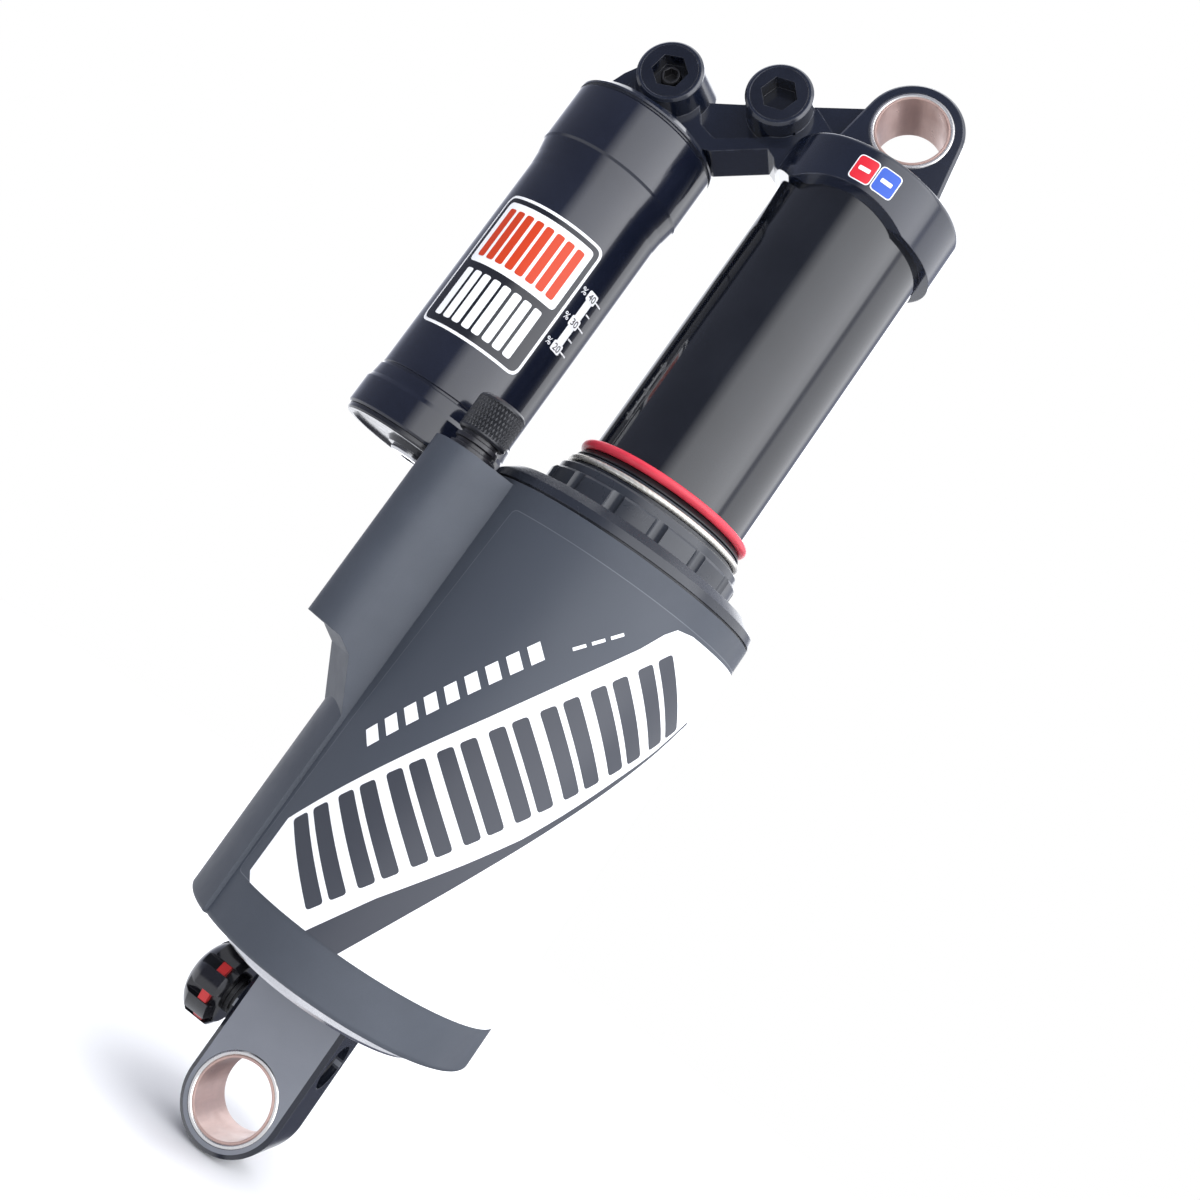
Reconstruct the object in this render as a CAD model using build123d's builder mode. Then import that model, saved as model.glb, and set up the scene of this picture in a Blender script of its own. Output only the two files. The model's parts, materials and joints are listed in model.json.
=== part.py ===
from build123d import *

import math
import os

# Rear shock for a bicycle, 200 mm eye to eye with 57 mm of stroke.
# Frame: origin at the centre of the lower eyelet's bore, +Z along the shaft towards the upper eyelet,
# the eyelet bores along Y, the piggyback reservoir on the -X side and the air valve towards -Y.
# All dimensions are in millimetres.

os.makedirs("parts", exist_ok=True)

# ---- driving dimensions ----
EYE_TO_EYE = 200.0
STROKE = 57.0

PIN_R = 6.35            # mounting pin of 12.7 mm
LINING_R = 6.75         # outside of the bushing's bronze lining
BUSH_R = 7.53           # outside of the steel bushing
BUSH_LENGTH = 12.7
BUSH_HALF = BUSH_LENGTH / 2

LUG_R = 9.1             # lower eyelet
LUG_HALF = 6.2
LUG_CHAMFER = 0.85
LUG_TOP = 21.2
FLANGE_R = 14.0
FLANGE_Z = 20.35
SPIGOT_R = 10.0
SPIGOT_TOP = 29.0

CAN_R = 26.8            # satin outer air can
CAN_INNER_R = 25.2
CAN_Z0 = 23.1
CAN_FLOOR = 26.4
CAN_TOP = 106.0
COLLAR_TOP = 110.2
CYL_R = 20.6            # inner air cylinder
CYL_BORE_R = 19.0

VALVE_ANGLE = 217.0     # direction of the valve lobe about Z
VALVE_REACH = 33.0      # from the shock's axis to the valve's axis
LOBE_R = 6.4
LOBE_Z0 = 58.0
LOBE_TOP = 105.2
LOBE_FOOT = 26.7        # reach of the lobe's foot, where it runs into the spine
SPINE_R = 27.5          # convex spine below the lobe, a little proud of the can

TUBE_R = 15.5           # damper tube
TUBE_BORE_R = 14.2
TUBE_Z0 = 89.2
TUBE_TOP = 186.0
SHAFT_R = 5.0
SHAFT_BORE_R = 1.6
SHAFT_Z0 = 16.0
SHAFT_SHOULDER = 100.0
SHAFT_TOP = 117.0

TRAVEL_RING_Z = 120.1   # ring that shows the stroke used, resting on the wiper
TRAVEL_SECTION_R = 0.85
TRAVEL_GAP = 0.35       # left over it at full stroke

RING_R = 17.4           # head ring round the top of the damper tube
RING_Z0 = TRAVEL_RING_Z + TRAVEL_SECTION_R + TRAVEL_GAP + STROKE
RING_TOP = 188.6
HEAD_LUG_R = 9.5
HEAD_LUG_HALF = 6.1

RES_X = -43.0           # piggyback reservoir
RES_HEAD_R = 14.85
RES_BODY_R = 13.95
RES_BORE_R = 12.45
RES_Z0 = 103.8
RES_TOP = 175.7

BOSS_R = 6.25
BOSS_FACE_Y = -9.0
BOSS_BORE_R = 4.6
BOSS_RECESS_R = 5.3     # shallow recess that takes a valve's head
VALVE_HEAD_R = 5.25
VALVE_R = 4.55
INNER_BOSS = (-23.4, 192.6)
OUTER_BOSS = (-43.0, 186.3)
PASSAGE_R = 1.3         # oil passages between the tube, the two bosses and the reservoir

KNOB_Z = 11.6           # axis of both rebound adjusters
KNOB_X = -11.5          # inner face of the rebound knob
KNOB_R = 6.9
KNOB_GROOVES = 8
CAM_LIFT = 1.4
KNOB_TURN = 270.0

CASTELLATIONS = 14

RES_AXIS = Axis((RES_X, 0, 0), (0, 0, 1))
RES_XZ = Plane(origin=(RES_X, 0, 0), x_dir=(1, 0, 0), z_dir=(0, -1, 0))
KNOB_AXIS = Axis((0, 0, KNOB_Z), (1, 0, 0))
VALVE_X = VALVE_REACH * math.cos(math.radians(VALVE_ANGLE))
VALVE_Y = VALVE_REACH * math.sin(math.radians(VALVE_ANGLE))
VALVE_AXIS = Axis((VALVE_X, VALVE_Y, 0), (0, 0, 1))
VALVE_XZ = Plane(origin=(VALVE_X, VALVE_Y, 0), x_dir=(1, 0, 0), z_dir=(0, -1, 0))


def save(part, node):
    part.label = node
    export_step(part, f"parts/{node}.step")


def turned(points, plane=Plane.XZ, axis=Axis.Z):
    """A turned piece: a closed outline of (radius, height) points spun about an axis."""
    with BuildPart() as piece:
        with BuildSketch(plane):
            with BuildLine():
                Polyline(*points, close=True)
            make_face()
        revolve(axis=axis)
    return piece.part


def o_ring(centre_r, height, section_r, plane=Plane.XZ, axis=Axis.Z):
    """A round-section ring about a vertical axis."""
    with BuildPart() as piece:
        with BuildSketch(plane):
            with Locations((centre_r, height)):
                Circle(section_r)
        revolve(axis=axis)
    return piece.part


def sleeve(inner_r, outer_r, half, height, bevel):
    """A plain bushing lying along Y with its centre at a height on the shock's axis."""
    with BuildPart() as piece:
        with BuildSketch(Plane.XZ.offset(-half)):
            with Locations((0, height)):
                Circle(outer_r)
                Circle(inner_r, mode=Mode.SUBTRACT)
        extrude(amount=2 * half)
        chamfer(piece.edges().filter_by(GeomType.CIRCLE), bevel)
    return piece.part


# ---- lower eyelet mount ----
with BuildPart() as lower_mount:
    with BuildSketch(Plane.XZ):
        Circle(LUG_R)
        with Locations((0, LUG_TOP / 2)):
            Rectangle(2 * LUG_R, LUG_TOP)
        fillet(vertices().group_by(Axis.Y)[-1], 2.2)
    extrude(amount=LUG_HALF, both=True)
    outline = lower_mount.edges().filter_by(lambda e: abs(abs(e.center().Y) - LUG_HALF) < 0.01)
    chamfer(outline, LUG_CHAMFER)
    # flange under the can and threaded spigot inside it
    with BuildSketch(Plane.XZ):
        with BuildLine():
            Polyline(
                (0, FLANGE_Z),
                (FLANGE_R, FLANGE_Z),
                (FLANGE_R, CAN_Z0 - 0.1),
                (SPIGOT_R, CAN_Z0 - 0.1),
                (SPIGOT_R, SPIGOT_TOP - 0.8),
                (SPIGOT_R - 0.8, SPIGOT_TOP),
                (0, SPIGOT_TOP),
                close=True,
            )
        make_face()
    revolve(axis=Axis.Z)
    # pad where the rebound knob's shaft comes out
    with BuildSketch(Plane.YZ.offset(-LUG_R - 0.4)):
        with Locations((0, KNOB_Z)):
            Circle(5.2)
    extrude(amount=1.4)
    # eyelet bore
    with BuildSketch(Plane.XZ):
        Circle(BUSH_R)
    extrude(amount=10, both=True, mode=Mode.SUBTRACT)
    # cross bore of the rebound knob's shaft
    with BuildSketch(Plane.YZ.offset(-LUG_R - 2)):
        with Locations((0, KNOB_Z)):
            Circle(2.7)
    extrude(amount=LUG_R + 2 + 1.8, mode=Mode.SUBTRACT)
    # recess and bore of the ending-stroke adjuster
    with BuildSketch(Plane.YZ.offset(7.6)):
        with Locations((0, KNOB_Z)):
            Circle(4.0)
    extrude(amount=5, mode=Mode.SUBTRACT)
    with BuildSketch(Plane.YZ.offset(2.4)):
        with Locations((0, KNOB_Z)):
            Circle(3.05)
    extrude(amount=6, mode=Mode.SUBTRACT)
    # bore of the damper shaft and channel of the rebound rod
    with BuildSketch(Plane.XY.offset(SHAFT_Z0)):
        Circle(SHAFT_R)
    extrude(amount=30, mode=Mode.SUBTRACT)
    with BuildSketch(Plane.XY.offset(KNOB_Z)):
        Circle(SHAFT_BORE_R)
    extrude(amount=10, mode=Mode.SUBTRACT)
save(lower_mount.part, "lower_mount")

# ---- eyelet bushings: steel shell and bronze lining, one pair at each eyelet ----
for end, height in (("lower", 0.0), ("upper", EYE_TO_EYE)):
    save(sleeve(LINING_R, BUSH_R, BUSH_HALF, height, 0.2), f"{end}_bushing")
    save(sleeve(PIN_R, LINING_R, BUSH_HALF - 0.1, height, 0.05), f"{end}_lining")

# ---- polished spacer ring between the mount's flange and the can ----
BASE_RING = [
    (FLANGE_R + 0.05, 20.4),
    (18.9, 20.3),
    (19.5, 20.8),
    (19.5, 21.9),
    (19.1, 22.5),
    (FLANGE_R + 0.05, 22.5),
]
save(turned(BASE_RING), "base_ring")

# ---- outer air can with the valve lobe ----
with BuildPart() as outer_can:
    with BuildSketch(Plane.XY.offset(CAN_Z0)):
        Circle(CAN_R)
    extrude(amount=CAN_TOP - CAN_Z0)
    # valve lobe
    with BuildSketch(Plane.XY.offset(LOBE_Z0).rotated((0, 0, VALVE_ANGLE))):
        with Locations((VALVE_REACH / 2, 0)):
            Rectangle(VALVE_REACH, 2 * LOBE_R)
        with Locations((VALVE_REACH, 0)):
            Circle(LOBE_R)
    extrude(amount=LOBE_TOP - LOBE_Z0)
    # the lobe steps in and ramps down into the spine
    with BuildSketch(Plane.XZ.rotated((0, 0, VALVE_ANGLE))) as ramp:
        with BuildLine():
            Polyline(
                (LOBE_FOOT, 50.0),
                (LOBE_FOOT, 59.3),
                (30.8, 66.5),
                (31.6, 67.9),
                (34.5, 69.6),
                (42.0, 70.4),
                (42.0, 50.0),
                close=True,
            )
        make_face()
    extrude(amount=12, both=True, mode=Mode.SUBTRACT)
    # straight spine, as wide as the lobe, down the whole can
    with BuildSketch(Plane.XY.offset(CAN_Z0).rotated((0, 0, VALVE_ANGLE))):
        Circle(SPINE_R)
        with Locations((SPINE_R / 2, 0)):
            Rectangle(SPINE_R, 2 * LOBE_R, mode=Mode.INTERSECT)
    extrude(amount=LOBE_TOP - CAN_Z0)
    # rounded lower edge
    fillet(outer_can.faces().sort_by(Axis.Z)[0].edges(), 0.9)
    # cavity round the inner cylinder
    with BuildSketch(Plane.XY.offset(CAN_FLOOR)):
        Circle(CAN_INNER_R)
    extrude(amount=CAN_TOP, mode=Mode.SUBTRACT)
    # threaded hole for the mount's spigot
    with BuildSketch(Plane.XY.offset(CAN_Z0 - 1)):
        Circle(SPIGOT_R)
    extrude(amount=8, mode=Mode.SUBTRACT)
    # valve bore and the port from it into the can
    with BuildSketch(Plane.XY.offset(86)):
        with Locations((VALVE_X, VALVE_Y)):
            Circle(3.2)
    extrude(amount=30, mode=Mode.SUBTRACT)
    with BuildSketch(Plane.YZ.rotated((0, 0, VALVE_ANGLE)).offset(20)):
        with Locations((0, 89)):
            Circle(1.5)
    extrude(amount=VALVE_REACH - 20, mode=Mode.SUBTRACT)
save(outer_can.part, "outer_can")

# ---- glossy end cap on top of the can ----
CAN_COLLAR = [
    (CYL_R + 0.05, 103.2),
    (CAN_INNER_R - 0.05, 103.2),
    (CAN_INNER_R - 0.05, CAN_TOP + 0.1),
    (CAN_R - 0.5, CAN_TOP + 0.1),
    (CAN_R - 0.5, CAN_TOP + 0.4),
    (CAN_R, CAN_TOP + 0.4),
    (26.5, 107.9),
    (24.4, COLLAR_TOP - 0.6),
    (CYL_R + 0.5, COLLAR_TOP),
    (CYL_R + 0.05, COLLAR_TOP),
    (CYL_R + 0.05, 107.0),
    (21.9, 107.0),
    (21.9, 105.2),
    (CYL_R + 0.05, 105.2),
]
save(turned(CAN_COLLAR), "can_collar")
save(o_ring(21.27, 106.1, 0.6), "collar_seal")

# ---- inner air cylinder with its transfer ports ----
with BuildPart() as air_cylinder:
    with BuildSketch(Plane.XY.offset(CAN_FLOOR)):
        Circle(CYL_R)
        Circle(CYL_BORE_R, mode=Mode.SUBTRACT)
    extrude(amount=COLLAR_TOP - CAN_FLOOR)
    for port in range(4):
        with BuildSketch(Plane.YZ.rotated((0, 0, 45 + 90 * port)).offset(15)):
            with Locations((0, 33), (0, 97)):
                Circle(1.5)
        extrude(amount=8, mode=Mode.SUBTRACT)
save(air_cylinder.part, "air_cylinder")

# ---- bottom-out bumper on the can's floor ----
BOTTOM_BUMPER = [(11.2, 26.45), (18.4, 26.45), (18.4, 28.4), (17.6, 29.2), (12.0, 29.2), (11.2, 28.4)]
save(turned(BOTTOM_BUMPER), "bottom_out_bumper")

# ---- air seal head at the mouth of the can ----
SEAL_HEAD = [
    (15.8, 102.0),
    (18.96, 102.0),
    (18.96, COLLAR_TOP),
    (17.1, COLLAR_TOP),
    (17.1, 116.2),
    (16.75, 116.2),
    (16.75, 117.4),
    (17.1, 117.4),
    (17.1, 117.7),
    (16.7, 118.0),
    (16.7, 116.0),
    (15.8, 116.0),
    (15.8, 114.4),
    (16.85, 114.4),
    (16.85, 112.2),
    (15.8, 112.2),
    (15.8, 109.0),
    (16.3, 109.0),
    (16.3, 103.0),
    (15.8, 103.0),
]
save(turned(SEAL_HEAD), "seal_head")
GUIDE = [(15.55, 103.0), (16.3, 103.0), (16.3, 109.0), (15.55, 109.0)]
save(turned(GUIDE), "guide_bushing")
save(turned([(15.55, 112.3), (16.8, 112.3), (16.8, 114.3), (15.55, 114.3)]), "air_seal_upper")
WIPER = [
    (15.55, 116.1),
    (16.65, 116.1),
    (16.65, 118.0),
    (17.0, 118.05),
    (16.9, 118.3),
    (16.2, 119.2),
    (15.55, 119.2),
]
save(turned(WIPER), "wiper_seal")
save(o_ring(17.3, 116.8, 0.55), "retaining_ring")

# ---- castellated lock ring ----
with BuildPart() as lock_ring:
    with BuildSketch(Plane.XZ):
        with BuildLine():
            Polyline(
                (17.15, COLLAR_TOP + 0.05),
                (19.3, COLLAR_TOP + 0.05),
                (19.3, 113.4),
                (19.0, 113.8),
                (18.4, 113.9),
                (18.4, 115.2),
                (17.9, 115.6),
                (17.15, 115.6),
                close=True,
            )
        make_face()
    revolve(axis=Axis.Z)
    # scalloped castellations for the wrench
    with BuildSketch(Plane.XY.offset(COLLAR_TOP)):
        with PolarLocations(19.9, CASTELLATIONS, start_angle=-70.2):
            Circle(1.45)
    extrude(amount=4, mode=Mode.SUBTRACT)
save(lock_ring.part, "lock_ring")

# ---- travel indicator ring on the damper tube ----
save(o_ring(16.4, TRAVEL_RING_Z, TRAVEL_SECTION_R), "travel_ring")

# ---- damper shaft with piston ----
with BuildPart() as damper_shaft:
    with BuildSketch(Plane.XZ):
        with BuildLine():
            Polyline(
                (SHAFT_BORE_R, SHAFT_Z0),
                (SHAFT_R, SHAFT_Z0),
                (SHAFT_R, SHAFT_SHOULDER),
                (4.0, SHAFT_SHOULDER),
                (4.0, SHAFT_TOP - 0.5),
                (3.5, SHAFT_TOP),
                (SHAFT_BORE_R, SHAFT_TOP),
                close=True,
            )
        make_face()
    revolve(axis=Axis.Z)
    # bleed ports uncovered by the rebound rod
    with BuildSketch(Plane.YZ.offset(-6)):
        with Locations((0, 96)):
            Circle(0.9)
    extrude(amount=12, mode=Mode.SUBTRACT)
save(damper_shaft.part, "damper_shaft")

with BuildPart() as main_piston:
    with BuildSketch(Plane.XY.offset(103)):
        Circle(14.1)
        Circle(4.0, mode=Mode.SUBTRACT)
        with PolarLocations(9.2, 6):
            SlotOverall(4.2, 2.4, rotation=90)
        with PolarLocations(6.4, 3, start_angle=30):
            Circle(0.9, mode=Mode.SUBTRACT)
    extrude(amount=6)
    with BuildSketch(Plane.XY.offset(102)):
        with PolarLocations(9.2, 6):
            SlotOverall(4.2, 2.4, rotation=90)
    extrude(amount=8, mode=Mode.SUBTRACT)
    with BuildSketch(Plane.XY.offset(104)):
        Circle(16)
        Circle(13.5, mode=Mode.SUBTRACT)
    extrude(amount=4, mode=Mode.SUBTRACT)
save(main_piston.part, "main_piston")
save(turned([(13.5, 104.0), (14.16, 104.0), (14.16, 108.0), (13.5, 108.0)]), "piston_band")


def shim_stack(z0, radii, thickness, node):
    """Spring-steel shims of falling radius, stacked on the shaft's threaded end."""
    with BuildPart() as stack:
        for index, radius in enumerate(radii):
            with BuildSketch(Plane.XY.offset(z0 + index * thickness)):
                Circle(radius)
                Circle(4.0, mode=Mode.SUBTRACT)
            extrude(amount=thickness)
    save(stack.part, node)


shim_stack(109.0, (12.0, 10.5, 9.0, 7.5, 6.5), 0.4, "compression_shims")
shim_stack(100.0, (6.5, 7.5, 9.0, 10.5, 11.5), 0.6, "rebound_shims")

with BuildPart() as piston_nut:
    with BuildSketch(Plane.XY.offset(111)):
        RegularPolygon(6.5, 6, major_radius=False)
        Circle(4.0, mode=Mode.SUBTRACT)
    extrude(amount=4.5)
save(piston_nut.part, "piston_nut")

# ---- rebound adjusters in the lower mount ----
CAM_BASE = 1.2
CAM_STEPS = 36


def cam_radius(turn):
    """Radius of the lifting cam, which grows evenly over the knob's turn."""
    return CAM_BASE + CAM_LIFT * min(turn / KNOB_TURN, 1.0)


with BuildPart() as knob_shaft:
    with BuildSketch(Plane.YZ.offset(KNOB_X - 4.2)):
        with Locations((0, KNOB_Z)):
            Circle(2.65)
    extrude(amount=2.5 - KNOB_X)
    # stepped neck between the knob and the mount
    with BuildSketch(Plane.YZ.offset(KNOB_X + 0.05)):
        with Locations((0, KNOB_Z)):
            Circle(3.5)
    extrude(amount=0.8)
    with BuildSketch(Plane.YZ.offset(KNOB_X + 0.85)):
        with Locations((0, KNOB_Z)):
            Circle(2.95)
    extrude(amount=1.05)
    # spiral cam under the rebound rod, lowest point of its rise straight up at rest
    with BuildSketch(Plane.YZ.offset(-1.7)):
        with BuildLine():
            turns = [KNOB_TURN * k / CAM_STEPS for k in range(CAM_STEPS + 1)]
            rise = [
                (
                    cam_radius(turn) * math.sin(math.radians(turn)),
                    KNOB_Z + cam_radius(turn) * math.cos(math.radians(turn)),
                )
                for turn in turns
            ]
            flank = Spline(*rise)
            Line(flank @ 1, (-1.3, KNOB_Z + 0.9))
            Line((-1.3, KNOB_Z + 0.9), flank @ 0)
        make_face()
    extrude(amount=3.3)
save(knob_shaft.part, "knob_shaft")

with BuildPart() as rebound_knob:
    with BuildSketch(Plane.XZ):
        with BuildLine():
            Polyline(
                (KNOB_X - 7.8, KNOB_Z),
                (KNOB_X, KNOB_Z),
                (KNOB_X, KNOB_Z + 5.6),
                (KNOB_X - 1, KNOB_Z + KNOB_R),
                (KNOB_X - 5, KNOB_Z + KNOB_R),
            )
            ThreePointArc(
                (KNOB_X - 5, KNOB_Z + KNOB_R), (KNOB_X - 7.1, KNOB_Z + 4.6), (KNOB_X - 7.8, KNOB_Z)
            )
        make_face()
    revolve(axis=KNOB_AXIS)
    # finger grooves
    with BuildSketch(Plane.YZ.offset(KNOB_X - 9)):
        with BuildSketch(Plane.XY, mode=Mode.PRIVATE) as notch:
            Rectangle(3.2, 1.9)
        with Locations((0, KNOB_Z)):
            with PolarLocations(KNOB_R + 0.3, KNOB_GROOVES, start_angle=152):
                add(notch.sketch)
    extrude(amount=10, mode=Mode.SUBTRACT)
    # blind bore for the shaft
    with BuildSketch(Plane.YZ.offset(KNOB_X - 4.3)):
        with Locations((0, KNOB_Z)):
            Circle(2.68)
    extrude(amount=6, mode=Mode.SUBTRACT)
save(rebound_knob.part, "rebound_knob")

# red blocks standing on the floor of the grooves at their inner end
with BuildPart() as knob_detents:
    with BuildSketch(Plane.YZ.offset(KNOB_X - 3.2)):
        with BuildSketch(Plane.XY, mode=Mode.PRIVATE) as block:
            Rectangle(1.1, 1.8)
        with Locations((0, KNOB_Z)):
            with PolarLocations(KNOB_R - 0.75, KNOB_GROOVES, start_angle=152):
                add(block.sketch)
    extrude(amount=1.6)
save(knob_detents.part, "knob_detents")

with BuildPart() as rebound_rod:
    with BuildSketch(Plane.XZ):
        with BuildLine():
            Polyline(
                (0, KNOB_Z + CAM_BASE + 0.06),
                (0.9, KNOB_Z + CAM_BASE + 0.35),
                (1.5, KNOB_Z + CAM_BASE + 1.4),
                (1.5, 93.0),
                (0.6, 96.0),
                (0, 96.4),
                close=True,
            )
        make_face()
    revolve(axis=Axis.Z)
save(rebound_rod.part, "rebound_rod")

with BuildPart() as ending_adjuster:
    with BuildSketch(Plane.YZ.offset(2.5)):
        with Locations((0, KNOB_Z)):
            Circle(3.0)
    extrude(amount=5.6)
    chamfer(ending_adjuster.edges().sort_by(Axis.X)[-1], 0.4)
    with BuildSketch(Plane.YZ.offset(5.6)):
        with Locations((0, KNOB_Z)):
            RegularPolygon(1.5, 6, major_radius=False)
    extrude(amount=4, mode=Mode.SUBTRACT)
save(ending_adjuster.part, "ending_adjuster")

# ---- damper tube with the air piston and the damper's own seal head at its lower end ----
with BuildPart() as damper_tube:
    with BuildSketch(Plane.XY.offset(TUBE_Z0)):
        Circle(TUBE_R)
        Circle(TUBE_BORE_R, mode=Mode.SUBTRACT)
    extrude(amount=TUBE_TOP - TUBE_Z0)
save(damper_tube.part, "damper_tube")

DAMPER_END = [
    (SHAFT_R + 0.05, 86.8),
    (17.0, 86.8),
    (17.6, 87.4),
    (17.6, TUBE_Z0),
    (TUBE_BORE_R - 0.02, TUBE_Z0),
    (TUBE_BORE_R - 0.02, 97.5),
    (13.6, 98.0),
    (SHAFT_R + 0.05, 98.0),
    (SHAFT_R + 0.05, 94.4),
    (7.0, 94.4),
    (7.0, 91.6),
    (SHAFT_R + 0.05, 91.6),
]
save(turned(DAMPER_END), "damper_seal_head")
save(turned([(SHAFT_R + 0.03, 91.7), (6.95, 91.7), (6.95, 94.3), (SHAFT_R + 0.03, 94.3)]), "shaft_seal")

AIR_PISTON = [
    (TUBE_R + 0.02, TUBE_Z0 + 0.05),
    (18.4, TUBE_Z0 + 0.05),
    (18.75, TUBE_Z0 + 0.4),
    (18.75, 91.2),
    (16.9, 91.2),
    (16.9, 94.2),
    (18.75, 94.2),
    (18.75, 95.4),
    (18.2, 95.4),
    (18.2, 97.8),
    (18.75, 97.8),
    (18.75, 98.4),
    (18.4, 98.8),
    (TUBE_R + 0.02, 98.8),
]
save(turned(AIR_PISTON), "air_piston")
AIR_SEAL = [(16.95, 91.3), (18.2, 91.3), (18.96, 91.9), (18.96, 93.5), (18.2, 94.1), (16.95, 94.1)]
save(turned(AIR_SEAL), "air_piston_seal")
save(turned([(18.2, 95.45), (18.95, 95.45), (18.95, 97.75), (18.2, 97.75)]), "air_glide_band")
TOP_BUMPER = [(15.55, 98.85), (18.3, 98.85), (18.3, 100.6), (17.4, 101.5), (16.2, 101.5), (15.55, 100.8)]
save(turned(TOP_BUMPER), "top_out_bumper")

# ---- head casting: ring, upper eyelet lug, bridge, valve bosses and reservoir cap ----
with BuildPart() as head:
    with BuildSketch(Plane.XY.offset(RING_Z0)):
        Circle(RING_R)
    extrude(amount=RING_TOP - RING_Z0)
    fillet(head.edges().sort_by(Axis.Z)[-1], 1.2)
    # front of the lower edge cut back to a lens-shaped bevel
    with BuildSketch(Plane.YZ.offset(-20)):
        with BuildLine():
            Polyline((-18.4, 181.05), (-18.4, 178.0), (-12.9, 178.0), close=True)
        make_face()
    extrude(amount=40, mode=Mode.SUBTRACT)
    # and cut back further towards the reservoir
    with BuildSketch(Plane.XZ):
        with BuildLine():
            Polyline((-18.4, 182.4), (-18.4, 178.0), (-11.5, 178.0), close=True)
        make_face()
    extrude(amount=20, both=True, mode=Mode.SUBTRACT)
    # eyelet lug
    with BuildSketch(Plane.XZ):
        with Locations((0, EYE_TO_EYE)):
            Circle(HEAD_LUG_R)
        with Locations((0, RING_TOP - 2)):
            Rectangle(23.4, 2)
        make_hull()
    extrude(amount=HEAD_LUG_HALF, both=True)
    rim = head.edges().filter_by(lambda e: abs(abs(e.center().Y) - HEAD_LUG_HALF) < 0.01)
    chamfer(rim.filter_by(lambda e: e.center().Z > RING_TOP + 0.5), 0.5)
    # bridge to the reservoir: a thin wall between the bosses
    with BuildSketch(Plane.XZ):
        with BuildLine():
            Polyline(
                (-40.0, 186.0),
                (-36.5, 187.2),
                (-30.3, 190.5),
                (-23.0, 194.8),
                (-12.0, 194.0),
                (-12.0, 186.0),
                (-16.5, 187.5),
                (-28.4, 180.0),
                (-36.0, 178.0),
                close=True,
            )
        make_face()
    extrude(amount=2.4, both=True)
    # pedestal over the reservoir, diagonal flange along the wall's lower edge and gusset onto the ring
    with BuildSketch(Plane.XZ):
        with BuildLine():
            Polyline(
                (-47.5, 176.6),
                (-36.0, 176.6),
                (-29.2, 178.5),
                (-20.5, 184.3),
                (-18.6, 183.4),
                (-17.4, 182.0),
                (-16.4, 181.6),
                (-14.0, 182.0),
                (-8.0, 188.5),
                (-8.0, 191.0),
                (-12.2, 193.1),
                (-17.3, 195.8),
                (-19.0, 192.0),
                (-17.8, 189.2),
                (-24.0, 184.9),
                (-30.1, 181.0),
                (-33.8, 182.2),
                (-36.1, 185.2),
                (-38.3, 189.0),
                (-48.0, 189.0),
                (-50.5, 180.0),
                close=True,
            )
        make_face()
        pocket_corners = vertices().filter_by_position(Axis.X, -34.3, -29.6)
        fillet(pocket_corners.filter_by_position(Axis.Y, 180.5, 183.0), 1.6)
    extrude(amount=4.7, both=True)
    # shoulder outside the outer boss
    with BuildSketch(Plane.XZ):
        with BuildLine():
            Polyline(
                (-50.5, 187.8), (-52.7, 184.3), (-55.0, 178.6), (-50.0, 177.0), (-47.0, 186.0), close=True
            )
        make_face()
    extrude(amount=3, both=True)
    # web from the inner boss up to the lug
    with BuildSketch(Plane.XZ):
        with BuildLine():
            Polyline((-7.5, 203.1), (-18.6, 196.9), (-20.0, 190.0), (-8.0, 187.0), close=True)
        make_face()
    extrude(amount=2.4, both=True)
    # outer boss flares towards its root
    with BuildSketch(Plane.XZ):
        with Locations(OUTER_BOSS):
            Circle(BOSS_R + 1.65)
    extrude(amount=8.2, taper=11.4)
    # reservoir cap and its spigot
    with BuildSketch(RES_XZ):
        with BuildLine():
            Polyline(
                (0, 168.5),
                (RES_BORE_R - 0.05, 168.5),
                (RES_BORE_R - 0.05, RES_TOP + 0.1),
                (RES_HEAD_R - 0.4, RES_TOP + 0.1),
                (RES_HEAD_R - 0.4, RES_TOP + 0.5),
                (RES_HEAD_R, RES_TOP + 0.5),
                (RES_HEAD_R, RES_TOP + 0.9),
                (RES_HEAD_R - 1.2, RES_TOP + 2.0),
                (9.0, RES_TOP + 2.6),
                (6.2, 181.5),
                (5.0, 186.0),
                (0, 186.0),
                close=True,
            )
        make_face()
    revolve(axis=RES_AXIS)
    # valve bosses
    for x, z in (INNER_BOSS, OUTER_BOSS):
        with BuildSketch(Plane.XZ.offset(-BOSS_FACE_Y)):
            with Locations((x, z)):
                Circle(BOSS_R)
        extrude(amount=-16)
    boss_rims = head.edges().filter_by(GeomType.CIRCLE).filter_by(
        lambda e: abs(e.center().Y - BOSS_FACE_Y) < 0.01 and abs(e.radius - BOSS_R) < 0.01
    )
    chamfer(boss_rims, 0.45)
    for x, z in (INNER_BOSS, OUTER_BOSS):
        with BuildSketch(Plane.XZ.offset(-BOSS_FACE_Y)):
            with Locations((x, z)):
                Circle(BOSS_RECESS_R)
        extrude(amount=-1.3, mode=Mode.SUBTRACT)
        with BuildSketch(Plane.XZ.offset(-BOSS_FACE_Y)):
            with Locations((x, z)):
                Circle(BOSS_BORE_R)
        extrude(amount=-12, mode=Mode.SUBTRACT)
    # oil passages inside the bridge: tube to inner boss, inner boss to outer boss
    for start, end in (((-9.5, 184.9), INNER_BOSS), ((-24.5, 189.6), (-41.5, 183.6))):
        run = Vector(end[0] - start[0], 0, end[1] - start[1])
        with BuildSketch(Plane(origin=(start[0], 0, start[1]), z_dir=run)):
            Circle(PASSAGE_R)
        extrude(amount=run.length, mode=Mode.SUBTRACT)
    # and from the outer boss down into the reservoir
    with BuildSketch(Plane.XY.offset(166)):
        with Locations((RES_X, 0)):
            Circle(2.2)
    extrude(amount=18, mode=Mode.SUBTRACT)
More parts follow.
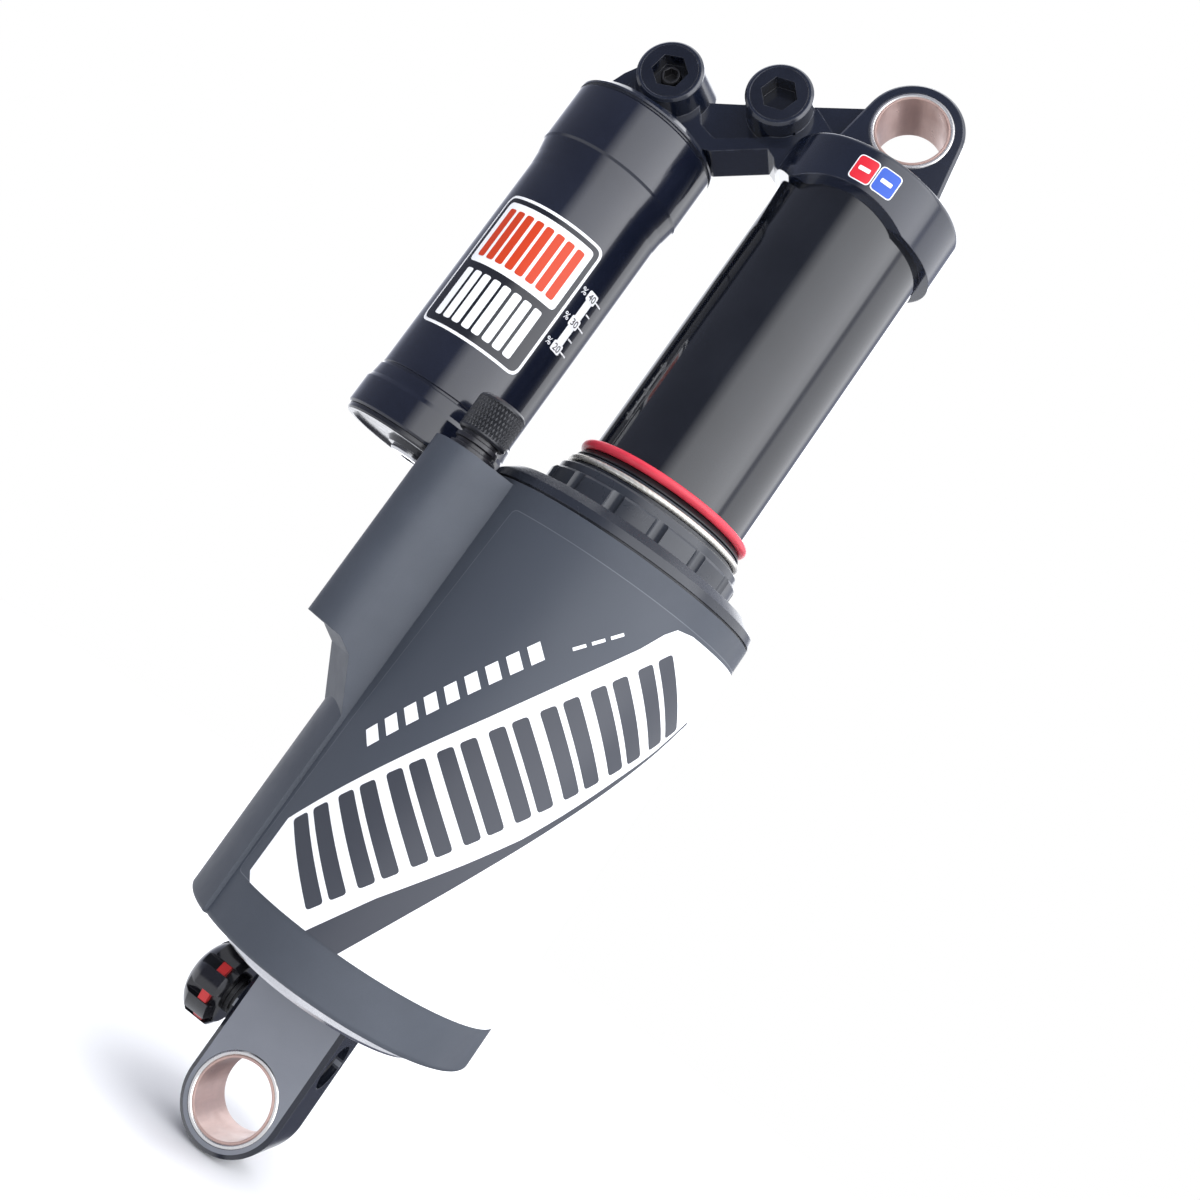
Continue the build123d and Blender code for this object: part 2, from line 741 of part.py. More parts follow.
    # socket of the damper tube and eyelet bore
    with BuildSketch(Plane.XY.offset(RING_Z0 - 2)):
        Circle(TUBE_R)
    extrude(amount=TUBE_TOP - RING_Z0 + 2, mode=Mode.SUBTRACT)
    with BuildSketch(Plane.XZ):
        with Locations((0, EYE_TO_EYE)):
            Circle(BUSH_R)
    extrude(amount=10, both=True, mode=Mode.SUBTRACT)
save(head.part, "head_casting")

# ---- valves in the two bosses ----
with BuildPart() as check_plug:
    with BuildSketch(Plane.XZ.offset(-BOSS_FACE_Y)):
        with Locations(INNER_BOSS):
            Circle(VALVE_HEAD_R)
    extrude(amount=-1.25)
    with BuildSketch(Plane.XZ.offset(-BOSS_FACE_Y - 1)):
        with Locations(INNER_BOSS):
            Circle(VALVE_R)
    extrude(amount=-6)
    with BuildSketch(Plane.XZ.offset(-BOSS_FACE_Y)):
        with Locations(INNER_BOSS):
            RegularPolygon(3.0, 6, major_radius=False, rotation=12)
    extrude(amount=-3.2, mode=Mode.SUBTRACT)
save(check_plug.part, "check_valve_plug")

with BuildPart() as compression_housing:
    with BuildSketch(Plane.XZ.offset(-BOSS_FACE_Y)):
        with Locations(OUTER_BOSS):
            Circle(VALVE_HEAD_R)
    extrude(amount=-1.25)
    with BuildSketch(Plane.XZ.offset(-BOSS_FACE_Y - 1)):
        with Locations(OUTER_BOSS):
            Circle(VALVE_R)
    extrude(amount=-5.4)
    # waisted inner end, which leaves a gallery for the oil round it
    with BuildSketch(Plane.XZ.offset(-BOSS_FACE_Y - 1)):
        with Locations(OUTER_BOSS):
            Circle(3.2)
    extrude(amount=-9)
    with BuildSketch(Plane.XZ.offset(-BOSS_FACE_Y)):
        with Locations(OUTER_BOSS):
            RegularPolygon(3.0, 6, major_radius=False, rotation=20)
    extrude(amount=-3.0, mode=Mode.SUBTRACT)
    with BuildSketch(Plane.XZ.offset(-BOSS_FACE_Y)):
        with Locations(OUTER_BOSS):
            Circle(1.95)
    extrude(amount=-12, mode=Mode.SUBTRACT)
save(compression_housing.part, "compression_housing")

with BuildPart() as compression_screw:
    with BuildSketch(Plane.XZ.offset(-BOSS_FACE_Y - 1.4)):
        with Locations(OUTER_BOSS):
            Circle(1.88)
    extrude(amount=-9.5)
    chamfer(compression_screw.edges().sort_by(Axis.Y)[0], 0.25)
    with BuildSketch(Plane.XZ.offset(-BOSS_FACE_Y - 1.4)):
        with Locations(OUTER_BOSS):
            RegularPolygon(1.25, 6, major_radius=False)
    extrude(amount=-2, mode=Mode.SUBTRACT)
save(compression_screw.part, "compression_screw")

# ---- piggyback reservoir ----
RESERVOIR = [
    (RES_BORE_R, RES_Z0),
    (14.5, RES_Z0),
    (14.8, RES_Z0 + 0.4),
    (14.8, 109.4),
    (14.45, 110.2),
    (14.2, 112.5),
    (13.75, 112.7),
    (13.75, 113.1),
    (RES_BODY_R, 113.3),
    (RES_BODY_R, 158.5),
    (14.15, 161.0),
    (RES_HEAD_R - 0.2, 163.9),
    (RES_HEAD_R, 164.4),
    (RES_HEAD_R, RES_TOP - 0.3),
    (RES_HEAD_R - 0.3, RES_TOP),
    (RES_BORE_R, RES_TOP),
]
save(turned(RESERVOIR, RES_XZ, RES_AXIS), "reservoir_body")

RES_CAP = [
    (2.6, 102.4),
    (5.0, 102.4),
    (5.6, 103.2),
    (12.4, 103.2),
    (12.9, 102.7),
    (13.9, 102.7),
    (14.2, 103.0),
    (14.2, RES_Z0 - 0.05),
    (RES_BORE_R - 0.05, RES_Z0 - 0.05),
    (RES_BORE_R - 0.05, 105.0),
    (11.2, 105.0),
    (11.2, 106.8),
    (RES_BORE_R - 0.05, 106.8),
    (RES_BORE_R - 0.05, 108.0),
    (2.6, 108.0),
]
save(turned(RES_CAP, RES_XZ, RES_AXIS), "reservoir_end_cap")
END_CAP_SEAL = [(11.25, 105.1), (12.42, 105.1), (12.42, 106.7), (11.25, 106.7)]
save(turned(END_CAP_SEAL, RES_XZ, RES_AXIS), "end_cap_seal")

with BuildPart() as fill_plug:
    with BuildSketch(RES_XZ):
        with BuildLine():
            Polyline(
                (0, 101.4),
                (3.6, 101.4),
                (4.0, 101.8),
                (4.0, 102.35),
                (2.55, 102.35),
                (2.55, 106.5),
                (0, 106.5),
                close=True,
            )
        make_face()
    revolve(axis=RES_AXIS)
    with BuildSketch(Plane.XY.offset(101)):
        with Locations((RES_X, 0)):
            RegularPolygon(1.5, 6, major_radius=False)
    extrude(amount=2.6, mode=Mode.SUBTRACT)
save(fill_plug.part, "fill_plug")

FLOATING_PISTON = [
    (0, 120.0),
    (9.0, 120.0),
    (9.0, 118.0),
    (12.0, 118.0),
    (12.39, 118.4),
    (12.39, 120.4),
    (10.9, 120.4),
    (10.9, 122.8),
    (12.39, 122.8),
    (12.39, 124.8),
    (12.0, 125.2),
    (10.0, 125.2),
    (9.0, 123.4),
    (0, 123.4),
]
save(turned(FLOATING_PISTON, RES_XZ, RES_AXIS), "floating_piston")
PISTON_SEAL = [(10.95, 120.5), (12.41, 120.5), (12.41, 122.7), (10.95, 122.7)]
save(turned(PISTON_SEAL, RES_XZ, RES_AXIS), "floating_piston_seal")

# ---- air valve ----
VALVE_BODY = [
    (2.6, 92.0),
    (3.15, 92.0),
    (3.15, LOBE_TOP + 0.05),
    (4.1, LOBE_TOP + 0.05),
    (4.1, 106.1),
    (3.5, 106.3),
    (3.5, 106.9),
    (3.95, 107.1),
    (3.95, 107.8),
    (3.4, 108.0),
    (3.4, 109.0),
    (3.85, 109.2),
    (3.85, 113.3),
    (3.5, 113.8),
    (2.6, 113.8),
]
save(turned(VALVE_BODY, VALVE_XZ, VALVE_AXIS), "valve_body")
save(turned([(0.8, 101.0), (2.55, 101.0), (2.55, 113.0), (0.8, 113.0)], VALVE_XZ, VALVE_AXIS), "valve_core")
VALVE_PIN = [(0, 99.0), (1.8, 99.0), (1.8, 99.6), (0.75, 99.8), (0.75, 113.2), (0.5, 113.5), (0, 113.5)]
save(turned(VALVE_PIN, VALVE_XZ, VALVE_AXIS), "valve_pin")
VALVE_CAP = [
    (3.92, 108.6),
    (4.2, 108.6),
    (4.45, 108.9),
    (4.45, 115.0),
    (3.9, 115.7),
    (0, 115.7),
    (0, 114.4),
    (3.6, 114.4),
    (3.92, 114.1),
]
save(turned(VALVE_CAP, VALVE_XZ, VALVE_AXIS), "valve_cap")
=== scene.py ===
import bpy
import bmesh
import json
import math
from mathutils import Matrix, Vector


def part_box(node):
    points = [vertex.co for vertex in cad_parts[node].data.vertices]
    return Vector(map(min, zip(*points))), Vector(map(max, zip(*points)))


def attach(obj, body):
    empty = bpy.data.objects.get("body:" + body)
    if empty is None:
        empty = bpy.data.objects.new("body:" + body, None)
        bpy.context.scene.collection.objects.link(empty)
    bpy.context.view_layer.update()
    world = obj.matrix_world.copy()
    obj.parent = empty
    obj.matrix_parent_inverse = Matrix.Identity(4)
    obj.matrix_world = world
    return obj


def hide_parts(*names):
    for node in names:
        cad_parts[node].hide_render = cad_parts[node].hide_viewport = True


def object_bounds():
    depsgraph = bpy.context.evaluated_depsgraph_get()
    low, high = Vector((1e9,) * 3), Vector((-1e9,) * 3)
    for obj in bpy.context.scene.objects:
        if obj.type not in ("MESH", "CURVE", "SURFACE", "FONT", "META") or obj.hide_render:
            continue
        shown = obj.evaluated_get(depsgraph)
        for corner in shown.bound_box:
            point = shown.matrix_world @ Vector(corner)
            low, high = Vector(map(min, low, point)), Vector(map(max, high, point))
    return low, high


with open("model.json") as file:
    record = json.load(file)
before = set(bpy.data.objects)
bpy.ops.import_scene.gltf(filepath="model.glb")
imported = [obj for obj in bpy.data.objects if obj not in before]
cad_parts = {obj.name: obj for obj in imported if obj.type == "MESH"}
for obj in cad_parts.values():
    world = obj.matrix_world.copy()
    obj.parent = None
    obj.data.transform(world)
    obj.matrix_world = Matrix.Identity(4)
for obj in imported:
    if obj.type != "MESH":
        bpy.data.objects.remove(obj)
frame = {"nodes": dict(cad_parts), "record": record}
cad_lo, cad_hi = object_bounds()
nodes = frame["nodes"]
MM = 0.001


# ---------------------------------------------------------------- sizes read from the frame

def centre_of(node):
    lo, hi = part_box(node)
    return (lo + hi) / 2


CAN_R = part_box("outer_can")[1].x
res_lo, res_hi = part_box("reservoir_body")
RES_X = centre_of("reservoir_body").x
RES_R = (res_hi.y - res_lo.y) / 2
cap_lo, cap_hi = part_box("valve_cap")
CAP_AT = centre_of("valve_cap")


# ---------------------------------------------------------------- objects and shader nodes

def placed(name, data):
    """A new object, linked into the scene."""
    obj = bpy.data.objects.new(name, data)
    bpy.context.scene.collection.objects.link(obj)
    return obj


def mesh_of(name, shape, material):
    """The bmesh as a mesh with one material."""
    mesh = bpy.data.meshes.new(name)
    shape.to_mesh(mesh)
    shape.free()
    mesh.materials.append(material)
    return mesh


def new_material(name):
    mat = bpy.data.materials.new(name)
    mat.use_nodes = True
    tree = mat.node_tree
    tree.nodes.clear()
    out = tree.nodes.new("ShaderNodeOutputMaterial")
    shader = tree.nodes.new("ShaderNodeBsdfPrincipled")
    tree.links.new(shader.outputs[0], out.inputs[0])
    return mat, tree, shader


def scaled(tree, stretch=(1, 1, 1)):
    """Object coordinates in metres, stretched for a grain."""
    coords = tree.nodes.new("ShaderNodeTexCoord")
    mapping = tree.nodes.new("ShaderNodeMapping")
    mapping.inputs["Scale"].default_value = stretch
    tree.links.new(coords.outputs["Object"], mapping.inputs["Vector"])
    return mapping.outputs["Vector"]


def noise(tree, vector, scale, detail=3.0, roughness=0.55, distortion=0.0):
    node = tree.nodes.new("ShaderNodeTexNoise")
    node.inputs["Scale"].default_value = scale
    node.inputs["Detail"].default_value = detail
    node.inputs["Roughness"].default_value = roughness
    node.inputs["Distortion"].default_value = distortion
    tree.links.new(vector, node.inputs["Vector"])
    return node.outputs["Fac"]


def spread(tree, value, lo, hi, out_lo, out_hi):
    """Maps value from lo..hi to out_lo..out_hi, clamped."""
    node = tree.nodes.new("ShaderNodeMapRange")
    for key, number in (("From Min", lo), ("From Max", hi), ("To Min", out_lo), ("To Max", out_hi)):
        node.inputs[key].default_value = number
    tree.links.new(value, node.inputs["Value"])
    return node.outputs["Result"]


def mixed(tree, factor, first, second):
    """Colour mix; first and second are colours or sockets."""
    node = tree.nodes.new("ShaderNodeMix")
    node.data_type = "RGBA"
    tree.links.new(factor, node.inputs["Factor"])
    for index, what in ((6, first), (7, second)):
        if isinstance(what, tuple):
            node.inputs[index].default_value = (*what, 1)
        else:
            tree.links.new(what, node.inputs[index])
    return node.outputs[2]


def math_node(tree, operation, a, b=None):
    node = tree.nodes.new("ShaderNodeMath")
    node.operation = operation
    for index, what in enumerate((a, b)):
        if what is None:
            continue
        if isinstance(what, (int, float)):
            node.inputs[index].default_value = what
        else:
            tree.links.new(what, node.inputs[index])
    return node.outputs[0]


def edge_mask(tree, radius):
    """1 on sharp edges: how far a bevelled normal leans from the true one."""
    bevel = tree.nodes.new("ShaderNodeBevel")
    bevel.samples = 4
    bevel.inputs["Radius"].default_value = radius
    geometry = tree.nodes.new("ShaderNodeNewGeometry")
    dot = tree.nodes.new("ShaderNodeVectorMath")
    dot.operation = "DOT_PRODUCT"
    tree.links.new(bevel.outputs[0], dot.inputs[0])
    tree.links.new(geometry.outputs["Normal"], dot.inputs[1])
    return bevel.outputs[0], spread(tree, dot.outputs["Value"], 0.995, 0.85, 0.0, 1.0)


def bump(tree, shader, height, strength, distance, normal=None):
    node = tree.nodes.new("ShaderNodeBump")
    node.inputs["Strength"].default_value = strength
    node.inputs["Distance"].default_value = distance
    tree.links.new(height, node.inputs["Height"])
    if normal is not None:
        tree.links.new(normal, node.inputs["Normal"])
    tree.links.new(node.outputs[0], shader.inputs["Normal"])


# ---------------------------------------------------------------- finishes

def dimmed(colour, share):
    return tuple(c * share for c in colour)


def shades(colour, tone, lift=0.0):
    """The colour made darker and lighter by its tone."""
    return dimmed(colour, 1 - tone), tuple(min(1.0, c * (1 + tone) + lift) for c in colour)


def metal(name, colour, worn_and_highlight_colour, rough, metallic=0.0, coat=0.0, coat_rough=0.05, grain=(1, 1, 1),
          grain_scale=2500.0, bump_mm=0.004, wear_and_highlight=0.5, tone=0.12, specular=0.5, edge_mm=0.15,
          rough_spread=0.25):
    """A coated or bare metal: mottled tone, uneven roughness, fine grain, paler edges: rubbed edges on most
    finishes, a painted highlight along the edges of the head casting.
    """
    mat, tree, shader = new_material(name)
    even = scaled(tree)
    along = scaled(tree, grain)
    large = noise(tree, even, 90.0, 4.0, 0.6)
    fine = noise(tree, along, grain_scale, 2.0, 0.6)
    smudge = noise(tree, even, 260.0, 5.0, 0.65, 0.4)
    body = mixed(tree, spread(tree, large, 0.35, 0.65, 0.0, 1.0), *shades(colour, tone, 0.002))
    body = mixed(tree, spread(tree, fine, 0.3, 0.7, 0.0, 0.35), body, dimmed(colour, 0.8))
    rounded, edges = edge_mask(tree, edge_mm * MM)
    broken = spread(tree, smudge, 0.42, 0.7, 0.0, 1.0)
    # paler edges: rubbing on most finishes, and on head_black a painted highlight along its edges
    pale_edge_share = math_node(tree, "MULTIPLY", math_node(tree, "MULTIPLY", edges, broken), wear_and_highlight)
    body = mixed(tree, pale_edge_share, body, worn_and_highlight_colour)
    tree.links.new(body, shader.inputs["Base Color"])
    smoothest, roughest = rough * (1 - rough_spread), min(1.0, rough * (1 + rough_spread))
    uneven = spread(tree, smudge, 0.3, 0.7, smoothest, roughest)
    tree.links.new(uneven, shader.inputs["Roughness"])
    shader.inputs["Metallic"].default_value = metallic
    shader.inputs["Specular IOR Level"].default_value = specular
    shader.inputs["Coat Weight"].default_value = coat
    shader.inputs["Coat Roughness"].default_value = coat_rough
    bump(tree, shader, fine, 0.35, bump_mm * MM, rounded)
    return mat


def rubber(name, colour, rough=0.5, tone=0.1, bump_mm=0.01, specular=0.4):
    """Rubber or plastic: mottled tone and a fine matt grain."""
    mat, tree, shader = new_material(name)
    even = scaled(tree)
    large = noise(tree, even, 240.0, 4.0, 0.6)
    fine = noise(tree, even, 4200.0, 2.0, 0.6)
    body = mixed(tree, spread(tree, large, 0.35, 0.65, 0.0, 1.0), *shades(colour, tone, 0.002))
    tree.links.new(body, shader.inputs["Base Color"])
    uneven = spread(tree, large, 0.3, 0.7, rough * 0.8, min(1.0, rough * 1.2))
    tree.links.new(uneven, shader.inputs["Roughness"])
    shader.inputs["Specular IOR Level"].default_value = specular
    bump(tree, shader, fine, 0.4, bump_mm * MM)
    return mat


def forged_mount(name):
    """Gloss black forging whose two machined faces across Y are a paler satin, its pale colour partly the
    finish and partly a painted reflection of the bright walls.
    """
    mat, tree, shader = new_material(name)
    even = scaled(tree)
    geometry = tree.nodes.new("ShaderNodeNewGeometry")
    split = tree.nodes.new("ShaderNodeSeparateXYZ")
    tree.links.new(geometry.outputs["True Normal"], split.inputs[0])
    flat = spread(tree, math_node(tree, "ABSOLUTE", split.outputs["Y"]), 0.985, 0.995, 0.0, 1.0)
    fine = noise(tree, scaled(tree, (1, 1, 0.3)), 3200.0, 2.0, 0.6)
    smudge = noise(tree, even, 200.0, 4.0, 0.6, 0.3)
    gloss = mixed(tree, smudge, (0.007, 0.009, 0.015), (0.011, 0.013, 0.021))
    # the satin colour is partly the faces' own finish and partly a painted reflection of the bright walls
    # they face
    satin = mixed(tree, smudge, (0.155, 0.165, 0.190), (0.180, 0.190, 0.215))
    rounded, edges = edge_mask(tree, 0.12 * MM)
    body = mixed(tree, flat, gloss, satin)
    pale_edge_share = math_node(tree, "MULTIPLY", math_node(tree, "MULTIPLY", edges, smudge), 0.5)
    tree.links.new(mixed(tree, pale_edge_share, body, (0.35, 0.36, 0.38)), shader.inputs["Base Color"])
    tree.links.new(spread(tree, flat, 0.0, 1.0, 0.17, 0.38), shader.inputs["Roughness"])
    bump(tree, shader, fine, 0.3, 0.004 * MM, rounded)
    return mat


def wire_ring(name):
    """Round wire with the fine slanted marks of a coiled spring."""
    mat, tree, shader = new_material(name)
    wave = tree.nodes.new("ShaderNodeTexWave")
    wave.inputs["Scale"].default_value = 520.0
    wave.inputs["Distortion"].default_value = 1.5
    wave.bands_direction = "DIAGONAL"
    tree.links.new(scaled(tree), wave.inputs["Vector"])
    grime = noise(tree, scaled(tree), 500.0, 3.0)
    bands = mixed(tree, wave.outputs["Fac"], (0.72, 0.69, 0.62), (0.84, 0.82, 0.76))
    tree.links.new(mixed(tree, spread(tree, grime, 0.45, 0.75, 0.0, 0.35), bands, (0.25, 0.22, 0.18)),
                   shader.inputs["Base Color"])
    shader.inputs["Metallic"].default_value = 0.75
    tree.links.new(spread(tree, grime, 0.3, 0.7, 0.22, 0.38), shader.inputs["Roughness"])
    bump(tree, shader, wave.outputs["Fac"], 0.35, 0.012 * MM)
    return mat


CHARCOAL = (0.047, 0.055, 0.071)
materials = {
    "satin_grey": forged_mount("satin_grey"),
    "bushing_steel": metal("bushing_steel", (0.80, 0.78, 0.76), (0.92, 0.91, 0.90), 0.24, 1.0,
                           grain_scale=3500.0, wear_and_highlight=0.3, tone=0.05),
    "bronze_lining": metal("bronze_lining", (0.50, 0.345, 0.305), (0.70, 0.52, 0.46), 0.36, 0.5,
                           grain=(1, 0.15, 1), grain_scale=1800.0, wear_and_highlight=0.4, tone=0.10),
    "polished_ring": metal("polished_ring", (0.78, 0.78, 0.80), (0.92, 0.92, 0.93), 0.14, 1.0, wear_and_highlight=0.2,
                           tone=0.03),
    "satin_black": metal("satin_black", CHARCOAL, (0.30, 0.31, 0.33), 0.46, grain_scale=5200.0,
                         specular=0.45, wear_and_highlight=0.3, tone=0.05, rough_spread=0.08),
    "gloss_black": metal("gloss_black", (0.016, 0.019, 0.027), (0.24, 0.24, 0.26), 0.26, coat=0.15,
                         coat_rough=0.12, wear_and_highlight=0.3, tone=0.04, rough_spread=0.12),
    "seal_rubber": rubber("seal_rubber", (0.012, 0.012, 0.012)),
    "bare_alloy": metal("bare_alloy", (0.62, 0.62, 0.63), (0.8, 0.8, 0.8), 0.3, 1.0, grain=(1, 1, 0.1)),
    "bumper_rubber": rubber("bumper_rubber", (0.03, 0.03, 0.03), 0.6),
    "guide_plastic": rubber("guide_plastic", (0.12, 0.09, 0.06), 0.45),
    "wiper_rubber": rubber("wiper_rubber", (0.010, 0.010, 0.012), 0.38),
    "ring_wire": wire_ring("ring_wire"),
    "lock_ring_black": metal("lock_ring_black", (0.024, 0.028, 0.037), (0.30, 0.31, 0.33), 0.30,
                             coat=0.25, coat_rough=0.2, wear_and_highlight=0.45, tone=0.06, rough_spread=0.15),
    "polished_steel": metal("polished_steel", (0.7, 0.7, 0.71), (0.9, 0.9, 0.9), 0.14, 1.0, wear_and_highlight=0.2),
    "piston_alloy": metal("piston_alloy", (0.55, 0.5, 0.38), (0.7, 0.68, 0.6), 0.32, 1.0,
                          grain=(1, 1, 0.1)),
    "spring_steel": metal("spring_steel", (0.42, 0.42, 0.45), (0.6, 0.6, 0.62), 0.3, 1.0),
    "valve_black": metal("valve_black", (0.014, 0.014, 0.018), (0.3, 0.3, 0.31), 0.3, coat=0.2,
                         coat_rough=0.1, wear_and_highlight=0.6),
    "valve_brass": metal("valve_brass", (0.6, 0.42, 0.16), (0.8, 0.65, 0.35), 0.28, 1.0),
    "knurled_cap": metal("knurled_cap", (0.016, 0.017, 0.021), (0.30, 0.30, 0.32), 0.34, wear_and_highlight=0.45,
                         edge_mm=0.06, tone=0.08),
    "tube_black": metal("tube_black", (0.0045, 0.0056, 0.0090), (0.1, 0.1, 0.1), 0.10, coat=0.5,
                        coat_rough=0.03, grain=(1, 1, 0.05), grain_scale=1500.0, bump_mm=0.0002,
                        wear_and_highlight=0.2, rough_spread=0.2),
    # head_black's pale edges are a painted highlight along the casting's edges, standing for the reflections
    # its rounded edges catch
    "head_black": metal("head_black", (0.006, 0.0090, 0.020), (0.17, 0.18, 0.22), 0.16, coat=0.5,
                        coat_rough=0.05, wear_and_highlight=0.55, bump_mm=0.0008, rough_spread=0.15, edge_mm=0.32),
    "plug_black": metal("plug_black", (0.005, 0.0068, 0.014), (0.24, 0.24, 0.26), 0.18, coat=0.2,
                        coat_rough=0.08, wear_and_highlight=0.5),
    "screw_black": metal("screw_black", (0.010, 0.010, 0.012), (0.3, 0.3, 0.31), 0.3, coat=0.1,
                         coat_rough=0.1, wear_and_highlight=0.5),
    "reservoir_black": metal("reservoir_black", (0.0060, 0.0082, 0.018), (0.2, 0.2, 0.22), 0.12,
                             coat=0.5, coat_rough=0.04, grain=(1, 1, 0.1), bump_mm=0.0002, wear_and_highlight=0.25,
                             rough_spread=0.15),
    "end_cap_black": metal("end_cap_black", (0.012, 0.013, 0.018), (0.25, 0.25, 0.27), 0.24, coat=0.3,
                           coat_rough=0.1, wear_and_highlight=0.4),
    "red_rubber": rubber("red_rubber", (0.60, 0.036, 0.062), 0.34, 0.10, 0.006, 0.45),
    "knob_black": metal("knob_black", (0.006, 0.006, 0.008), (0.2, 0.2, 0.21), 0.12, coat=0.6,
                        coat_rough=0.04, wear_and_highlight=0.35),
    "knob_red": rubber("knob_red", (0.45, 0.02, 0.02), 0.36, 0.1, 0.004, 0.5),
}
for row in frame["record"]["subparts"]:
    data = nodes[row["node"]].data
    finish = materials[row["material_slot"]]
    if not data.materials:
        data.materials.append(finish)
    for index in range(len(data.materials)):
        data.materials[index] = finish


# ---------------------------------------------------------------- print on round bodies

def vinyl(name, colour, rough=0.36, tone=0.03, bump_mm=0.003, specular=0.5):
    """Printed sheet: near even ink with faint flecks, soft sheen and the slight waviness of film."""
    mat, tree, shader = new_material(name)
    even = scaled(tree)
    cloud = noise(tree, even, 60.0, 3.0)
    fleck = noise(tree, even, 3000.0, 2.0, 0.7)
    body = mixed(tree, cloud, *shades(colour, tone))
    body = mixed(tree, spread(tree, fleck, 0.62, 0.8, 0.0, 0.25), body, dimmed(colour, 0.7))
    tree.links.new(body, shader.inputs["Base Color"])
    tree.links.new(spread(tree, cloud, 0.3, 0.7, rough * 0.9, rough * 1.1), shader.inputs["Roughness"])
    shader.inputs["Specular IOR Level"].default_value = specular
    bump(tree, shader, fleck, 0.25, bump_mm * MM)
    return mat


inks = {
    "charcoal": vinyl("vinyl_charcoal", CHARCOAL, 0.44),
    # a paler grey ink that paints the thin highlight along the can sheet's edge
    "edge": vinyl("vinyl_edge_highlight", (0.10, 0.11, 0.13), 0.3),
    "white": vinyl("vinyl_white", (0.86, 0.87, 0.89), 0.34, 0.015),
    "dark": vinyl("ink_dark", (0.036, 0.040, 0.052), 0.36),
    "gloss": vinyl("ink_black_gloss", (0.012, 0.013, 0.018), 0.16),
    "orange": vinyl("ink_orange_red", (0.52, 0.045, 0.012), 0.32, specular=0.35),
    "red": vinyl("ink_red", (0.62, 0.02, 0.035), 0.25),
    "blue": vinyl("ink_blue", (0.018, 0.085, 0.48), 0.25),
    "pale": vinyl("ink_pale_grey", (0.55, 0.57, 0.60), 0.3),
}


class Barrel:
    """A round body that carries print.

    Sheet coordinates are millimetres: along the girth from the -Y line, and up.
    """

    FILM_LIFT = 0.02        # the lowest layer stands this far off the body
    LAYER_LIFT = 0.04       # and each layer above it this much further
    FONT_SIZE = 1.4         # a font's size over the height of its figures

    def __init__(self, body, axis_x, radius, step):
        self.body, self.axis_x, self.radius, self.step = body, axis_x, radius, step

    def at(self, azimuth, z):
        return (math.radians(azimuth) * self.radius / MM, z)

    def sheet(self, name, outline, ink, layer, turn=None):
        """Lays a flat outline on the barrel; turn mirrors it, so that s becomes turn - s."""
        if turn is not None:
            outline = [(turn - s, z) for s, z in outline]
        shape = bmesh.new()
        shape.faces.new([shape.verts.new((s, z, 0)) for s, z in outline])
        self.bend(name, shape, ink, layer)

    def bend(self, name, shape, ink, layer):
        """Cuts a flat shape into strips and bends it round the barrel, lifted by its layer."""
        along = [v.co.x for v in shape.verts]
        cut = math.ceil(min(along) / self.step) * self.step
        while cut < max(along):
            everything = shape.verts[:] + shape.edges[:] + shape.faces[:]
            bmesh.ops.bisect_plane(shape, geom=everything, dist=1e-5,
                                   plane_co=(cut, 0, 0), plane_no=(1, 0, 0))
            cut += self.step
        bmesh.ops.triangulate(shape, faces=shape.faces[:])
        lifted = self.radius + (self.FILM_LIFT + self.LAYER_LIFT * layer) * MM
        for v in shape.verts:
            angle = v.co.x * MM / self.radius
            v.co = (self.axis_x + lifted * math.sin(angle), -lifted * math.cos(angle), v.co.y * MM)
        shape.normal_update()
        for face in shape.faces:
            middle = face.calc_center_median() - Vector((self.axis_x, 0, 0))
            if face.normal.dot(Vector((middle.x, middle.y, 0))) < 0:
                face.normal_flip()
            face.smooth = True
        obj = placed(name, mesh_of(name, shape, inks[ink]))
        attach(obj, self.body)

    def figures(self, name, text, s, z, height, ink, layer, side):
        """Gauge numbers, set flat and then bent round the barrel."""
        curve = bpy.data.curves.new(name + "_flat", "FONT")
        curve.body = text
        curve.size = height * self.FONT_SIZE
        curve.align_x = side
        flat = bpy.data.objects.new(name + "_flat", curve)
        mesh = bpy.data.meshes.new_from_object(flat)
        shape = bmesh.new()
        shape.from_mesh(mesh)
        bmesh.ops.translate(shape, verts=shape.verts, vec=(s, z, 0))
        bpy.data.objects.remove(flat)
        bpy.data.curves.remove(curve)
        bpy.data.meshes.remove(mesh)
        self.bend(name, shape, ink, layer)


def between(a, b, t):
    return (a[0] + (b[0] - a[0]) * t, a[1] + (b[1] - a[1]) * t)


def rounded(points, radius, steps=5):
    """The outline with each corner replaced by a short curve."""
    result = []
    for i, corner in enumerate(points):
        ends = []
        for other in (points[i - 1], points[(i + 1) % len(points)]):
            length = math.dist(corner, other)
            # a corner takes less than half of a side, so that two of them fit
            ends.append(between(corner, other, min(radius, length * 0.45) / length))
        for k in range(steps + 1):
            t = k / steps
            result.append(tuple((1 - t) ** 2 * a + 2 * t * (1 - t) * c + t * t * b
                                for a, c, b in zip(ends[0], corner, ends[1])))
    return result


def box_outline(s0, z0, s1, z1, radius=0.0):
    points = [(s0, z0), (s1, z0), (s1, z1), (s0, z1)]
    return rounded(points, radius) if radius else points


# ---------------------------------------------------------------- the can's print
# Places in the print are (azimuth in degrees from -Y towards +X, height in mm).

can = Barrel("air_can", 0.0, CAN_R, 1.5)
RIM_Z = 31.4            # top of the plain band at the can's foot
SHEET_KNEE = 60.0       # where the sheet's slanted end changes its slope
SHEET_TOP = 101.8
SHEET_INSET = 0.16      # width of the sheet's pale edge, a painted highlight along the sheet's edge
PANEL_FOOT = -29.0      # azimuth of the white panel's lower corner
HALF_TURN = 254.0       # the print repeats mirrored about azimuth 127
turn_s = can.at(HALF_TURN, 0)[0]


